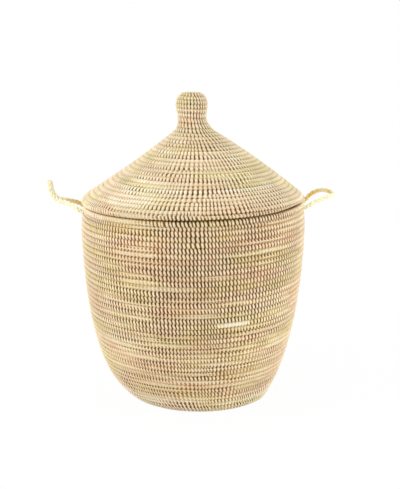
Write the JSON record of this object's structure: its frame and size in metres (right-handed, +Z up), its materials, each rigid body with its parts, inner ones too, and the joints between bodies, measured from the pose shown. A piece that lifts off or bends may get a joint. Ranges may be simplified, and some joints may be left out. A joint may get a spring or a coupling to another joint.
{
  "type": "lidded storage basket",
  "caption": "Round coiled-grass hamper on a small foot, with a stitched conical lid, a wound knob and two plaited carrying loops.",
  "frame": {"origin": "middle of the foot, on the surface that the basket stands on", "axes": "+Z up through the knob; the two carrying loops lie along X, the higher one at -X"},
  "size_m": [0.558, 0.4268, 0.5877],
  "materials": {
    "stitched_coil": "grass coil wrapped in cream strip stitches",
    "rim_straw": "pale straw coil with cream strip stitches",
    "plaited_straw": "three-strand plait of pale palm leaf"
  },
  "bodies": {
    "basket": {"base_coil": "stitched_coil", "wall_coil": "stitched_coil", "rim_coil": "rim_straw", "collar_coil": "stitched_coil", "left_front_knot": "plaited_straw", "left_back_knot": "plaited_straw", "right_front_knot": "plaited_straw", "right_back_knot": "plaited_straw"},
    "lid": {"lid_lip_coil": "stitched_coil", "lid_cone_coil": "stitched_coil", "knob_coil": "stitched_coil"},
    "left_handle": {"left_handle_loop": "plaited_straw"},
    "right_handle": {"right_handle_loop": "plaited_straw"}
  },
  "joints": [
    {"name": "lid_lift", "type": "slide", "parent": "basket", "child": "lid", "axis": [0, 0, 1], "range_m": [0, 0.3]},
    {"name": "left_handle_swing", "type": "hinge", "parent": "basket", "child": "left_handle", "pos_m": [-0.21421, 0, 0.36561], "axis": [0, 1, 0], "range_deg": [-100, 40]},
    {"name": "right_handle_swing", "type": "hinge", "parent": "basket", "child": "right_handle", "pos_m": [0.21421, 0, 0.37239], "axis": [0, -1, 0], "range_deg": [-100, 30]}
  ]
}
